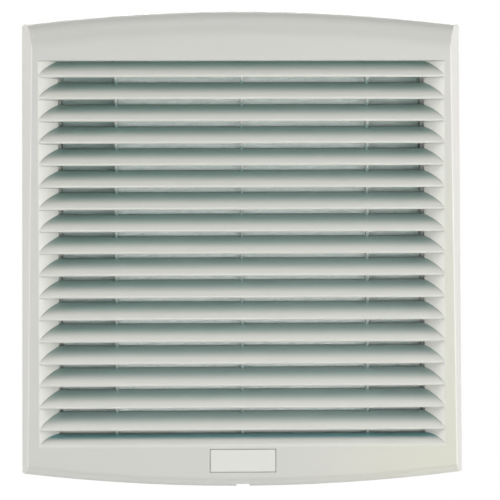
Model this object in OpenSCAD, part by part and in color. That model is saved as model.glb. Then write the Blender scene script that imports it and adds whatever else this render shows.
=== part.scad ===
// Cabinet filter fan: a louvred cover on a moulded frame, with a filter mat and an axial fan.
// X is to the right, Y runs into the cabinet and Z is up.
// The origin is the middle of the cut-out, on the outer face of the cabinet's sheet.

/* [Cut-out] */
// Side of the square cut-out in the cabinet's sheet
cutout = 223; // [215:0.5:240]
// Clearance of the collar in the cut-out, each side
cutout_gap = 0.5; // [0.3:0.1:1]

/* [Cover] */
// How far the rim reaches past the cut-out at each side
cover_side = 12.5; // [12:0.5:16]
// How far the rim reaches past the cut-out above and below, on the centre line
cover_rise = 22.5; // [22:0.5:28]
// Depth of the cover from rim to face at the top
depth_top = 20; // [19:0.5:24]
// Depth of the cover from rim to face at the bottom
depth_bottom = 10; // [9.5:0.5:14]
// Radius of the bowed top and bottom edges
bow_r = 1000; // [900:10:2000]
// Roll-off radius along the top edge
top_roll = 16; // [12:0.5:16.5]
// Roll-off radius along the bottom edge
bottom_roll = 5.5; // [3:0.5:6]
// Lean of the side walls
side_draft = 19.3; // [15:0.1:21]
// Rounding between the side walls and the face
edge_r = 1.2; // [0.6:0.1:2]
// Wall of the cover
cover_wall = 2.4; // [2:0.1:2.6]

/* [Louvre] */
// How far the opening reaches past the cut-out at each side
opening_over = 2.1; // [1.5:0.1:2.4]
// How far each sloping reveal comes in from the opening's edge
reveal_run = 10.4; // [9.5:0.1:12]
// Depth of the sloping reveals
reveal_depth = 11.2; // [10:0.1:12]
// Top edge of the opening below the cut-out's upper edge
head_in = 7.4; // [6:0.1:9]
// Lower panel's edge above the cut-out's lower edge
sill_in = 1; // [0.6:0.1:3]
// Number of slats
slat_count = 17; // [15:1:18]
// Lower edge of the first slat under the opening's top
first_slat = 9.2; // [9:0.1:10]
// Lower edge of the last slat above the sill
last_slat = 7.8; // [7.5:0.1:9]
// Slope of the slats from nose to tail
slat_slope = 37; // [34:0.5:39]
// Angle through which a slat curves over from nose to tail
slat_bend = 28; // [12:1:32]
// Thickness of a slat
slat_t = 1.8; // [1.4:0.1:2]
// Depth of a slat
slat_depth = 12; // [10:0.1:12.4]
// Distance of the outer ribs from the middle
rib_x = 70.5; // [60:0.5:80]
// Thickness of a rib
rib_t = 1.6; // [1.2:0.1:2]

/* [Frame] */
// How far the flange reaches past the cut-out
flange_over = 7; // [6.5:0.1:8]
// Thickness of the flange
flange_t = 2.5; // [2:0.1:2.8]
// Thickness of the gasket as fitted
gasket_t = 2.5; // [2:0.1:2.8]
// Wall of the frame
frame_wall = 2.5; // [2:0.1:3]
// How far the collar goes behind the sheet's outer face
collar_y = 4; // [3.5:0.1:5]
// How far the tub stands in from the collar
tub_step = 6; // [5.5:0.1:8]
// Rear face of the tub, where the fan sits
tub_y = 40; // [38:0.5:46]
// Diameter of the optional fixing screws' holes
fixing_d = 4.5; // [4:0.1:5]
// Distance of those holes from the cut-out's edges
fixing_out = 3.7; // [3.4:0.1:4]

/* [Filter] */
// Thickness of the filter mat
mat_t = 17; // [12:0.5:18]
// Height of the grid behind the mat
grid_t = 4; // [3:0.5:5]
// Bars of the grid each way
grid_bars = 6; // [4:1:8]

/* [Hinge] */
// Hinge axis in front of the sheet
hinge_front = 12; // [12:0.1:12.5]
// Hinge axis below the cover's top edge
hinge_drop = 8; // [7.8:0.1:8.5]
// Distance of each hinge from the middle
hinge_x = 30; // [26:0.5:60]
// Diameter of the hinge pins
hinge_pin_d = 2.5; // [2:0.1:2.6]

/* [Fan] */
// Bore of the fan's ring
fan_bore = 148; // [130:0.5:160]
// Depth of the fan
fan_t = 51; // [50:0.5:56]
// Hole circle of the fan's screws past the bore
pcd_over = 14; // [13:0.5:16]
// Edge of the fan's flanges past the hole circle
flange_edge = 10; // [10:0.5:12]
// Angle of the screw holes from the horizontal
fan_hole_angle = 20; // [18:1:26]
// Gap between the blades' tips and the ring
tip_gap = 2; // [1:0.1:3]
// Number of blades
blade_count = 7; // [5:1:9]
// Thickness of a blade
blade_t = 1.8; // [1.4:0.1:2.2]
// Sweep of a blade round the hub
blade_sweep = 36; // [24:1:38]
// Camber of a blade
blade_camber = 5; // [3:0.5:7]
// Diameter of the rotor cup
rotor_d = 82; // [76:0.5:90]
// Diameter of the rotor's shaft
shaft_d = 5; // [5:0.1:6]
// Number of struts
strut_count = 5; // [3:1:6]

/* [Hidden] */
$fn = 48;

// Clearances between pieces, and how far cutters reach past what they cut
run_gap = 0.05;
press_gap = 0.02;
slide_gap = 0.3;
seat_gap = 0.3;
screw_gap = 0.3;
eps = 0.01;
cut = 1;

// Overall sizes of the cover
cover_w = cutout + 2 * cover_side;
cover_h = cutout + 2 * cover_rise;

// Frame stations along Y
flange_back = -gasket_t;
flange_front = flange_back - flange_t;
flange_half = cutout / 2 + flange_over;
collar_half = cutout / 2 - cutout_gap;
collar_inner = collar_half - frame_wall;
tub_half = collar_half - tub_step;
tub_inner = tub_half - frame_wall;
fixing_at = cutout / 2 + fixing_out;
corner_r = 5;
flange_r = 3;
gasket_in = 0.5;
step_t = 2;
step_y = collar_y + step_t;
fan_wall_y = tub_y - frame_wall;

// Cover stations: the rim lies a little behind the flange's front face
rim_lap = 1;
rim_y = flange_front + rim_lap;
face_y = rim_y - (depth_top + depth_bottom) / 2;
lean = atan((depth_top - depth_bottom) / cover_h);
draft_slope = tan(side_draft);
face_half = cover_w / 2 + draft_slope * (face_y - rim_y);
side_turn = atan(draft_slope * sin(lean));
inner_edge_r = 0.2;
block_back = 45;
local_top = cover_h / 2 * cos(lean) - (rim_y - face_y) * sin(lean);
local_bottom = (cover_h / 2 + bottom_roll * sin(lean)) / cos(lean);
slab_h = 1.3 * cover_h;
bow_span = 2 * asin(0.6 * cover_w / (bow_r - slab_h));

// Louvre
opening_x = cutout / 2 + opening_over;
throat_x = opening_x - reveal_run;
opening_top = cutout / 2 - head_in;
sill_drop = cutout / 2 - sill_in;
slat_pitch = (opening_top + sill_drop - first_slat - last_slat) / (slat_count - 1);
nose_r = slat_t / 2;
slat_z0 = opening_top - first_slat;
slat_run = slat_depth - nose_r;
slat_steep = slat_slope + slat_bend / 2;
slat_flat = slat_slope - slat_bend / 2;
slat_r = slat_run / (sin(slat_steep) - sin(slat_flat));
slat_centre = [nose_r + slat_r * sin(slat_steep), nose_r - slat_r * cos(slat_steep)];
shelf_over = 0.5;
shelf = slat_depth + shelf_over;
reveal_t = 2;
reveal_tail = 2.2;
head_t = 2.4;
head_chamfer = 0.6;
sill_steep = 50;
sill_flat = 2;
sill_r = reveal_depth / (sin(sill_steep) - sin(sill_flat));
sill_centre = [sill_r * sin(sill_steep), -sill_drop - sill_r * cos(sill_steep)];
sill_wall = 1.6;
sill_lip = 0.8;
sill_foot = 8.5;
sill_z = sill_centre[1] + sill_r * cos(sill_flat);
rib_back = slat_depth + 2 * shelf_over;
rib_foot = slat_depth - 2 * shelf_over;
rib_nub = 0.5;

// Badge recess and screwdriver notch in the lower panel
badge_w = 37;
badge_h = 12.9;
badge_drop = 2.75;
badge_z = -sill_drop - badge_drop - badge_h / 2;
badge_depth = 0.9;
badge_sunk = 0.15;
badge_seam = 0.3;
notch_w = 7.6;
notch_h = 1.3;

// Hinge and catch
hinge_y = -hinge_front;
hinge_z = cover_h / 2 - hinge_drop;
ear_t = 4;
ear_r = 2.9;
ear_foot = 10;
lug_t = 2.5;
lug_gap = 0.3;
lug_h = 10;
hinge_len = ear_t + 2 * (lug_gap + lug_t);
pin_in = 0.2;
tongue_x = 20;
tongue_w = 10;
tongue_t = 1.6;
tongue_gap = 0.5;
tongue_short = 0.4;
tongue_z = -(collar_half + flange_half) / 2;

// Filter
mat_gap = 1;
mat_half = tub_inner - mat_gap;
mat_front = -1.2;
grid_front = mat_front + mat_t;
grid_back = grid_front + grid_t;
grid_half = tub_inner - seat_gap;
grid_rim = 5;
grid_bar = 2.2;
ledge_t = 2;
ledge_w = 4;

// Clamps and their rails
rail_web = 6;
rail_head = 12;
rail_low = 2.6;
rail_high = 2;
tooth_h = 0.8;
tooth_pitch = 2;
rail_in = 0.5;
rail_end = 2;
rail_front = step_y - rail_in;
rail_back = tub_y - rail_end;
clamp_w = 22;
clamp_gap = 2.5;
clamp_lead = 2;
clamp_body_front = step_y + clamp_lead;
clamp_len = 16;
clamp_body_back = clamp_body_front + clamp_len;
clamp_reach = 8.5;
clamp_wall = 2.4;
clamp_top = 4;
clamp_step = 3;
jaw_gap = 0.8;
pocket_wall = 1.5;

// Fan stations along Y
fan_front = tub_y;
fan_back = fan_front + fan_t;
bore_r = fan_bore / 2;
blade_r = bore_r - tip_gap;
flat_over = 3;
fan_flat = fan_bore + flat_over;
fan_pcd = fan_bore + pcd_over;
fan_d = fan_pcd + flange_edge;
ear_plate = 4;
ring_wall = 2;
plate_t = 4;
plate_sunk = 1;
plate_back = fan_back - plate_sunk;
plate_front = plate_back - plate_t;
plate_edge = 1;
cup_r = rotor_d / 2;
cup_wall = 2.4;
plate_in = 5;
plate_r = cup_r - plate_in;
strut_w = 5;
strut_off = 6;
strut_root = 12;
strut_turn = 18;
tube_bore = 8;
tube_wall = 2.4;
tube_fillet = 4;
core_len = 18;
core_clear = 7;
core_back = plate_front - core_clear;
core_front = core_back - core_len;
tube_over = 4;
tube_front = core_front - tube_over;
bearing_w = 5;
bearing_inset = 1;
bearing_back = 2;
race_t = 1.7;
outer_race_t = 1.4;
shield_t = 0.6;
shield_gap = 0.5;
cup_in = 6;
cup_front = fan_front + cup_in;
cup_gap = 2;
cup_back = plate_front - cup_gap;
cup_round = 2;
hub_wall = 3;
hub_r = cup_r + hub_wall;
hub_skin = 1.8;
hub_round = 1.5;
hub_lip = 5;
hub_over = 2;
hub_front = cup_front - hub_over;
hub_back = cup_back - 2 * hub_over;
blade_in = 1;
shaft_r = shaft_d / 2;
shaft_in = 0.3;
shaft_tip = 0.5;
shaft_back = plate_back - shaft_tip;
boss_wall = 4;
spigot_wall = 1.5;
clip_t = 0.7;
clip_gap = 0.1;
clip_r = 1.5;
groove_depth = 0.4;
ring_t = 5;
ring_inner = cup_r - cup_wall - ring_t;
air_gap = 0.6;
core_outer = ring_inner - air_gap;
ring_over = 2;
slot_count = 8;
slot_w = 3;
tooth_w = 7;
yoke_t = 6;
yoke_r = tube_bore + tube_wall + yoke_t;
shoe_t = 3;
shoe_r = core_outer - shoe_t;
coil_t = 4.5;
coil_gap = 0.3;
coil_split = 0.5;

// Screws, bosses and the wire guard
screw_r = 1.95;
screw_head_r = 3.8;
screw_head_h = 2.8;
screw_end = 3;
boss_r = 5;
boss_len = 9;
boss_front = fan_wall_y - boss_len;
mouth_gap = 0.5;
mouth_r = bore_r + mouth_gap;
mouth_roll = 5;
mouth_lip = 1.5;
washer_t = 1;
washer_r = 4.6;
guard_wire = 2.2;
guard_lift = 5.2;
guard_y = fan_back + guard_lift;
guard_weld = 0.5;
guard_inner = 14;
guard_in = 6;
guard_outer = bore_r - guard_in;
guard_steps = 5;
guard_pitch = (guard_outer - guard_inner) / guard_steps;
guard_foot = 0.5;
tab_t = 1.2;
tab_r = 5;
tab_w = 6;
tab_len = 10;
guard_top = fan_back + tab_t;

// Ribs on the tub's back
back_rib_t = 2;
back_rib_h = 3;
back_rib_in = 4;

// Terminal block in the tub's lower corner
block_d = 18;
block_h = 16;
block_side = 6;
block_low = 4;
block_foot = 3.5;
block_edge = 3;
block_end = 4;
block_screw_r = 1.25;
block_head_r = 2.6;
block_head_h = 1.9;
block_screw_end = 2;
pole_pitch = 9;
pole_wall = 1;
block_body_w = 3 * pole_pitch + 2 * pole_wall;
block_screw_at = block_body_w / 2 + block_head_r + 2 * screw_gap;
block_w = 2 * (block_screw_at + block_end);
block_x = tub_half - block_side - block_w / 2;
block_z = -(tub_half - block_low - block_d / 2);
pole_up = 6;
pole_y = tub_y + pole_up;
pole_bore = 4.4;
pole_gap = 0.1;
clamp_bore = 2.8;
clamp_end = 4;
pole_screw_r = 1.5;
pole_head_r = 2.4;
pole_screw_len = 4;
pole_head_y = pole_y + pole_screw_len;
pole_head_len = 3;

// Points along an arc
function arc(cx, cy, r, from, to, steps) =
  [for (i = [0:steps]) let (a = from + (to - from) * i / steps) [cx + r * cos(a), cy + r * sin(a)]];

// Outline of a square with round corners
function soft_square(half, r, steps = 6) = concat(
  arc(half - r, half - r, r, 0, 90, steps),
  arc(r - half, half - r, r, 90, 180, steps),
  arc(r - half, r - half, r, 180, 270, steps),
  arc(half - r, r - half, r, 270, 360, steps)
);

// Carries a drawing in X and Z from one station along Y to another
module along_y(from, to) {
  translate([0, to, 0])
    rotate([90, 0, 0])
      linear_extrude(to - from)
        children();
}

// A drawing of radius and station, turned about the fan's axis
module turned() {
  rotate([-90, 0, 0])
    rotate_extrude($fn = 96)
      children();
}

// A round bar along Y
module bar_y(r, from, to, sides = 48) {
  translate([0, from, 0])
    rotate([-90, 0, 0])
      cylinder(r = r, h = to - from, $fn = sides);
}

// The four screw places of the fan
module at_fan_holes() {
  for (sx = [-1, 1], sz = [-1, 1])
    translate([sx * fan_pcd / 2 * cos(fan_hole_angle), 0, sz * fan_pcd / 2 * sin(fan_hole_angle)])
      children();
}

// The four optional fixing screws' places at the flange's corners
module at_fixings() {
  for (sx = [-1, 1], sz = [-1, 1])
    translate([sx * fixing_at, 0, sz * fixing_at])
      children();
}

// The two hinges, with Z along the hinge axis
module at_hinges() {
  for (sx = [-1, 1])
    translate([sx * hinge_x, hinge_y, hinge_z])
      rotate([0, 90, 0])
        children();
}

// The two screws that hold the terminal block
module at_block_screws() {
  for (sx = [-1, 1])
    translate([block_x + sx * block_screw_at, 0, block_z])
      children();
}

// The cover's own frame: origin on the face, Y into the depth, Z up along the face
module on_face() {
  translate([0, face_y, 0])
    rotate([lean, 0, 0])
      children();
}

// A slab with one bowed edge, rolled over towards the face
module bowed_slab(edge, r, roll, inset) {
  translate([0, 0, edge - r])
    rotate([90, 0, 0])
      rotate_extrude(angle = bow_span, start = 90 - bow_span / 2, $fn = 1440)
        polygon(concat(
          [[r - slab_h, -inset]],
          arc(r - roll - inset, -roll - inset, roll, 90, 0, 16),
          [[r - inset, -block_back], [r - slab_h, -block_back]]
        ));
}

// Everything between the two drafted side walls, with rounded front edges
module side_limits(inset, round_r) {
  wall_x = face_half * cos(side_turn) - inset * sqrt(1 + draft_slope * draft_slope) + draft_slope * inset;
  centre_x = wall_x + draft_slope * round_r - round_r * sqrt(1 + draft_slope * draft_slope);
  far_x = wall_x + draft_slope * (block_back - inset);
  intersection_for (side = [0, 1])
    mirror([side, 0, 0])
      rotate([0, -side_turn, 0])
        linear_extrude(1.5 * cover_h, center = true)
          polygon(concat(
            [[-cover_w, inset]],
            arc(centre_x, inset + round_r, round_r, -90, -side_draft, 6),
            [[far_x, block_back], [-cover_w, block_back]]
          ));
}

// The cover as a full block, or its hollow when inset by the wall
module cover_block(inset) {
  intersection() {
    bowed_slab(local_top, bow_r, top_roll - inset, inset);
    rotate([0, 180, 0])
      bowed_slab(local_bottom, bow_r, bottom_roll - min(inset, bottom_roll - 1), inset);
    side_limits(inset, inset > 0 ? inner_edge_r : edge_r);
  }
}

// Height of a slat's middle line above its lower edge, at a depth behind the face
function slat_rise(depth) = slat_centre[1] + sqrt(pow(slat_r, 2) - pow(slat_centre[0] - depth, 2));

// Section of one slat: a full round nose, then a plate that curves over as it goes up and back
module slat_section() {
  across_nose = slat_t * [-sin(slat_steep), cos(slat_steep)];
  tip = [nose_r, nose_r];
  translate(tip)
    circle(nose_r);
  intersection() {
    translate(slat_centre)
      difference() {
        circle(slat_r + nose_r, $fn = 180);
        circle(slat_r - nose_r, $fn = 180);
      }
    polygon([tip - across_nose, tip + across_nose, [slat_depth, slat_pitch + slat_t], [slat_depth, slat_t]]);
  }
}

// Section of the cheek that closes a slat's end below, flush with its lower edge
module cheek_section() {
  polygon([[nose_r, 0], [reveal_depth, 0], [reveal_depth, slat_rise(reveal_depth)], [nose_r, nose_r]]);
}

// A drawing of depth and height on the face, carried across it
module across(half) {
  translate([-half, 0, 0])
    rotate([90, 0, 90])
      linear_extrude(2 * half)
        children();
}

// The funnel between the reveals, reaching a little way into them
module funnel(sink) {
  mouth = opening_x + sink;
  throat = throat_x + sink;
  translate([0, 0, -cover_h / 2])
    linear_extrude(cover_h)
      polygon([
        [-mouth, -cut], [mouth, -cut], [mouth, 0], [throat, reveal_depth], [throat, block_back],
        [-throat, block_back], [-throat, reveal_depth], [-mouth, 0]
      ]);
}

// The slats and the cheeks at their ends, cut to the funnel
module slats() {
  intersection() {
    for (i = [0:slat_count - 1])
      translate([0, 0, slat_z0 - i * slat_pitch]) {
        across(opening_x + reveal_t)
          slat_section();
        difference() {
          across(opening_x + reveal_t)
            cheek_section();
          across(throat_x)
            translate([0, -cut])
              square([reveal_depth + cut, slat_pitch + cut]);
        }
      }
    funnel(reveal_t / 2);
  }
}

// Drawing of a rib: it shows between the slats as a line from under one nose to the tail below
module rib_section() {
  difference() {
    translate([nose_r, sill_z - sill_lip])
      square([rib_back - nose_r, opening_top + head_t / 2 - sill_z + sill_lip]);
    for (i = [-1:slat_count - 1]) {
      above = min(slat_z0 - i * slat_pitch, opening_top);
      below = slat_z0 - (i + 1) * slat_pitch;
      polygon([
        [-cut, above + rib_nub], [slat_t / 2 + eps, above + rib_nub], [rib_foot, below + slat_rise(rib_foot)],
        [nose_r, below + nose_r], [-cut, below + nose_r]
      ]);
    }
  }
}

// The sloping side walls of the opening, cut back below the sill to clear the flange
module reveals() {
  low = -sill_drop - sill_wall;
  root = opening_x + 1.1 * reveal_t;
  bend = throat_x + 1.1 * reveal_t;
  difference() {
    for (side = [0, 1])
      mirror([side, 0, 0])
        translate([0, 0, low])
          linear_extrude(opening_top + head_t / 2 - low)
            polygon([
              [opening_x, 0], [root, 0], [root, 0.8 * cover_wall], [bend, reveal_depth],
              [throat_x + reveal_t, reveal_depth + reveal_tail],
              [throat_x, reveal_depth + reveal_tail], [throat_x, reveal_depth]
            ]);
    translate([-cover_w / 2, sill_foot, -cover_h / 2])
      cube([cover_w, block_back, cover_h / 2 + sill_z - sill_lip]);
  }
}

// Section of the sill: it curves over from the lower panel's edge as it goes up and back
module sill_section() {
  intersection() {
    translate(sill_centre)
      difference() {
        circle(sill_r, $fn = 180);
        circle(sill_r - sill_wall, $fn = 180);
      }
    translate([0, -sill_drop - sill_lip])
      square([shelf, sill_lip + sill_r]);
  }
}

// Upper edge of the opening and the curved sill below
module head_and_sill() {
  intersection() {
    union() {
      across(opening_x + reveal_t)
        polygon([
          [head_chamfer, opening_top], [shelf, opening_top + head_chamfer], [shelf, opening_top + head_t],
          [0, opening_top + head_t], [0, opening_top + head_chamfer]
        ]);
      across(opening_x + reveal_t)
        sill_section();
    }
    funnel(reveal_t);
  }
}

// Two lugs beside each ear of the frame, hanging from the roll of the cover
module hinge_lugs() {
  near = ear_t / 2 + lug_gap;
  intersection() {
    on_face()
      cover_block(cover_wall / 2);
    for (sx = [-1, 1], side = [-1, 1])
      translate([sx * hinge_x + side * (near + lug_t / 2), hinge_y, hinge_z])
        rotate([0, 90, 0])
          union() {
            cylinder(r = ear_r, h = lug_t, center = true);
            translate([-lug_h / 2, 0, 0])
              cube([lug_h, 2 * ear_r, lug_t], center = true);
          }
  }
}

// Tongues that hold the cover's lower edge in the flange
module catch_tongues() {
  back = flange_back - tongue_short;
  length = back - (face_y - tongue_z * tan(lean)) - cover_wall / 2;
  for (sx = [-1, 1])
    translate([sx * tongue_x - tongue_w / 2, back - length, tongue_z - tongue_t / 2])
      cube([tongue_w, length, tongue_t]);
}

module front_cover() {
  color("#d3d5d0")
    difference() {
      union() {
        difference() {
          on_face()
            difference() {
              cover_block(0);
              cover_block(cover_wall);
              translate([-opening_x, -cut, -sill_drop])
                cube([2 * opening_x, reveal_depth, opening_top + sill_drop]);
              translate([-badge_w / 2, -cut, badge_z - badge_h / 2])
                cube([badge_w, cut + badge_depth, badge_h]);
            }
          translate([-cover_w, rim_y, -cover_h])
            cube([2 * cover_w, 2 * block_back, 2 * cover_h]);
          translate([-notch_w / 2, 2 * face_y, -cover_h / 2 - cut])
            cube([notch_w, rim_y - 2 * face_y + cut, notch_h + cut]);
        }
        on_face() {
          slats();
          reveals();
          head_and_sill();
          for (x = [-rib_x, 0, rib_x])
            translate([x, 0, 0])
              across(rib_t / 2)
                rib_section();
        }
        hinge_lugs();
        catch_tongues();
      }
      at_hinges()
        cylinder(d = hinge_pin_d + 2 * run_gap, h = hinge_len + cut, center = true);
    }
}

module badge_plate() {
  color("#d8dad5")
    on_face()
      translate([-badge_w / 2 + badge_seam, badge_sunk, badge_z - badge_h / 2 + badge_seam])
        cube([badge_w - 2 * badge_seam, badge_depth - badge_sunk, badge_h - 2 * badge_seam]);
}

module hinge_pins() {
  color("silver")
    at_hinges()
      cylinder(d = hinge_pin_d, h = hinge_len - 2 * pin_in, center = true);
}

// Ear that stands on the flange and carries a hinge pin
module hinge_ear() {
  foot_top = flange_half - gasket_in - hinge_z;
  foot_low = foot_top - ear_foot;
  foot = flange_front + flange_t / 4 - hinge_y;
  rotate([90, 0, 90])
    linear_extrude(ear_t, center = true)
      union() {
        circle(r = ear_r);
        polygon([
          [-ear_r * cos(30), -ear_r * sin(30)], [0, ear_r * 0.98], [ear_r * 0.98, 0],
          [foot, foot_top], [foot, foot_low]
        ]);
      }
}

// Toothed rail for one clamp, on the right-hand side of the tub
module clamp_rail() {
  head_r = tub_half + rail_low;
  top_r = head_r + rail_high;
  teeth = floor((rail_back - rail_front) / tooth_pitch) - 1;
  translate([tub_half - frame_wall / 4, rail_front, -rail_web / 2])
    cube([rail_low + frame_wall / 2, rail_back - rail_front, rail_web]);
  translate([0, 0, -rail_head / 2])
    linear_extrude(rail_head)
      polygon(concat(
        [[head_r, rail_back], [head_r, rail_front], [top_r, rail_front]],
        [for (i = [0:teeth - 1], k = [0, 1])
          [top_r + k * tooth_h, rail_front + (0.5 + i + 0.6 * k) * tooth_pitch]],
        [[top_r, rail_front + (0.5 + teeth) * tooth_pitch], [top_r, rail_back]]
      ));
}

module base_frame() {
  ledge = tub_inner - ledge_w;
  rib_from = fan_d / 2 + back_rib_in;
  rib_to = sqrt(2) * (tub_half - back_rib_in);
  color("#cfd1cc")
    difference() {
      union() {
        along_y(flange_front, flange_back)
          polygon(soft_square(flange_half, flange_r));
        along_y(flange_back - eps, step_y)
          polygon(soft_square(collar_half, corner_r));
        along_y(step_y - eps, tub_y)
          polygon(soft_square(tub_half, corner_r));
        for (a = [0:90:270])
          rotate([0, a, 0])
            clamp_rail();
        for (sx = [-1, 1])
          translate([sx * hinge_x, hinge_y, hinge_z])
            hinge_ear();
        for (a = [45, 135, 225])
          rotate([0, -a, 0])
            translate([rib_from, tub_y - eps, -back_rib_t / 2])
              cube([rib_to - rib_from, back_rib_h, back_rib_t]);
      }
      along_y(flange_front - cut, collar_y)
        polygon(soft_square(collar_inner, corner_r - 1));
      difference() {
        along_y(collar_y - cut, fan_wall_y)
          polygon(soft_square(tub_inner, corner_r - 1));
        along_y(grid_back, grid_back + ledge_t)
          difference() {
            square(2 * tub_half, center = true);
            square(2 * ledge, center = true);
          }
        turned()
          polygon(concat(
            arc(mouth_r + mouth_roll, fan_wall_y, mouth_roll, 180, 270, 6),
            [[mouth_r + mouth_roll + mouth_lip, fan_wall_y - mouth_roll],
             [mouth_r + mouth_roll + mouth_lip, fan_wall_y + cut], [mouth_r, fan_wall_y + cut]]
          ));
        at_fan_holes()
          bar_y(boss_r, boss_front, tub_y);
      }
      bar_y(mouth_r, fan_wall_y - cut, tub_y + cut, 120);
      at_fan_holes()
        bar_y(screw_r + run_gap, boss_front + screw_end / 2, tub_y + cut);
      at_fixings()
        bar_y(fixing_d / 2, flange_front - cut, flange_back + cut);
      for (sx = [-1, 1])
        translate([sx * tongue_x, (flange_front + flange_back) / 2, tongue_z])
          cube([tongue_w + 2 * tongue_gap, flange_t + 2 * cut, tongue_t + 2 * tongue_gap], center = true);
      at_hinges()
        cylinder(d = hinge_pin_d + press_gap, h = hinge_len, center = true);
      at_block_screws()
        bar_y(block_screw_r + run_gap, fan_wall_y - cut, tub_y + cut);
    }
}

module panel_gasket() {
  color("#2b2c2d")
    difference() {
      along_y(flange_back, 0)
        difference() {
          polygon(soft_square(flange_half - gasket_in, flange_r - gasket_in));
          polygon(soft_square(collar_half + 2 * gasket_in, corner_r));
        }
      at_fixings()
        bar_y(fixing_d / 2, flange_back - cut, cut);
    }
}

module filter_grid() {
  inner = grid_half - grid_rim;
  step = 2 * inner / (grid_bars + 1);
  color("#c3c6c1")
    along_y(grid_front, grid_back)
      union() {
        difference() {
          polygon(soft_square(grid_half, corner_r));
          square(2 * inner, center = true);
        }
        for (i = [1:grid_bars]) {
          translate([-inner + i * step, 0])
            square([grid_bar, 2 * inner + grid_rim], center = true);
          translate([0, -inner + i * step])
            square([2 * inner + grid_rim, grid_bar], center = true);
        }
      }
}

module filter_mat() {
  color("#e4e8e4")
    along_y(mat_front, grid_front)
      polygon(soft_square(mat_half, corner_r));
}

// Clamp on the right-hand rail: a block on the rail with a jaw that reaches over the sheet's edge
module panel_clamp(angle) {
  head_r = tub_half + rail_low;
  top_r = head_r + rail_high + tooth_h;
  jaw_r = cutout / 2 + clamp_reach;
  jaw_in = collar_half + jaw_gap;
  slot_len = clamp_body_back + cut;
  pocket_w = clamp_w / 2 - 2 * pocket_wall;
  color("#3a3c3e")
    rotate([0, angle, 0])
      difference() {
        translate([0, 0, -clamp_w / 2])
          linear_extrude(clamp_w)
            polygon([
              [tub_half + slide_gap, clamp_body_front], [jaw_in, clamp_body_front], [jaw_in, clamp_gap],
              [jaw_r, clamp_gap], [jaw_r, clamp_body_front + clamp_step], [top_r + clamp_top, clamp_body_back],
              [tub_half + slide_gap, clamp_body_back]
            ]);
        translate([tub_half - cut, 0, -rail_web / 2 - slide_gap])
          cube([rail_low + 2 * cut, slot_len, rail_web + 2 * slide_gap]);
        translate([head_r - slide_gap, 0, -rail_head / 2 - slide_gap])
          cube([rail_high + tooth_h + 2 * slide_gap, slot_len, rail_head + 2 * slide_gap]);
        for (sz = [-1, 1])
          translate([jaw_in + clamp_wall, clamp_gap + clamp_wall, sz * clamp_w / 4 - pocket_w / 2])
            cube([clamp_w, slot_len, pocket_w]);
      }
}
module panel_clamp_right() { panel_clamp(0); }
module panel_clamp_top() { panel_clamp(-90); }
module panel_clamp_left() { panel_clamp(180); }
module panel_clamp_bottom() { panel_clamp(90); }

// Outline of the fan's flanges: a disc with two flats
module fan_outline() {
  intersection() {
    circle(d = fan_d, $fn = 120);
    square([fan_d + cut, fan_flat], center = true);
  }
}

module fan_frame() {
  color("#2e3033")
    difference() {
      union() {
        along_y(fan_front, fan_back)
          intersection() {
            circle(r = bore_r + ring_wall, $fn = 120);
            square([fan_d, fan_flat], center = true);
          }
        along_y(fan_front, fan_front + ear_plate)
          fan_outline();
        along_y(fan_back - ear_plate, fan_back)
          fan_outline();
      }
      difference() {
        bar_y(bore_r, fan_front - cut, fan_back + cut, 120);
        turned()
          polygon([
            [tube_bore, tube_front], [tube_bore + tube_wall, tube_front],
            [tube_bore + tube_wall, plate_front - tube_fillet], [tube_bore + tube_wall + tube_fillet, plate_front],
            [plate_r, plate_front], [plate_r, plate_back - plate_edge], [plate_r - plate_edge, plate_back],
            [tube_bore, plate_back]
          ]);
        for (i = [0:strut_count - 1])
          rotate([0, i * 360 / strut_count + strut_turn, 0])
            translate([plate_r - strut_root, plate_front, -strut_off])
              cube([bore_r + ring_wall - plate_r + strut_root, plate_t, strut_w]);
      }
      at_fan_holes()
        bar_y(screw_r + screw_gap, fan_front - cut, fan_back + cut);
    }
}

module stator_core() {
  hole = tube_bore + tube_wall + run_gap;
  color("#6d6f72")
    along_y(core_front, core_back)
      difference() {
        union() {
          circle(r = yoke_r);
          for (i = [0:slot_count - 1])
            rotate(i * 360 / slot_count)
              translate([0, -tooth_w / 2])
                square([core_outer - shoe_t / 3, tooth_w]);
          difference() {
            circle(r = core_outer, $fn = 96);
            circle(r = shoe_r, $fn = 96);
            for (i = [0:slot_count - 1])
              rotate((i + 0.5) * 360 / slot_count)
                translate([0, -slot_w / 2])
                  square([core_outer + cut, slot_w]);
          }
        }
        circle(r = hole);
      }
}

module stator_coils() {
  inner = yoke_r + coil_gap;
  outer = sqrt(shoe_r * shoe_r - pow(tooth_w / 2 + coil_t, 2)) - coil_gap;
  wedge = outer + coil_t;
  wedge_half = wedge * tan(180 / slot_count) - coil_split;
  color("#b5643a")
    for (i = [0:slot_count - 1])
      rotate([0, i * 360 / slot_count, 0])
        intersection() {
          difference() {
            translate([inner, core_front - coil_t, -tooth_w / 2 - coil_t])
              cube([outer - inner, core_len + 2 * coil_t, tooth_w + 2 * coil_t]);
            translate([inner - cut, core_front - coil_gap, -tooth_w / 2 - coil_gap])
              cube([outer - inner + 2 * cut, core_len + 2 * coil_gap, tooth_w + 2 * coil_gap]);
          }
          translate([0, core_front - 2 * coil_t, 0])
            rotate([-90, 0, 0])
              linear_extrude(core_len + 4 * coil_t)
                polygon([[0, 0], [wedge, wedge_half], [wedge, -wedge_half]]);
        }
}

// The two bearing seats along the shaft
function bearing_fronts() = [tube_front + bearing_inset, plate_back - bearing_inset - bearing_w - bearing_back];

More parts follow.
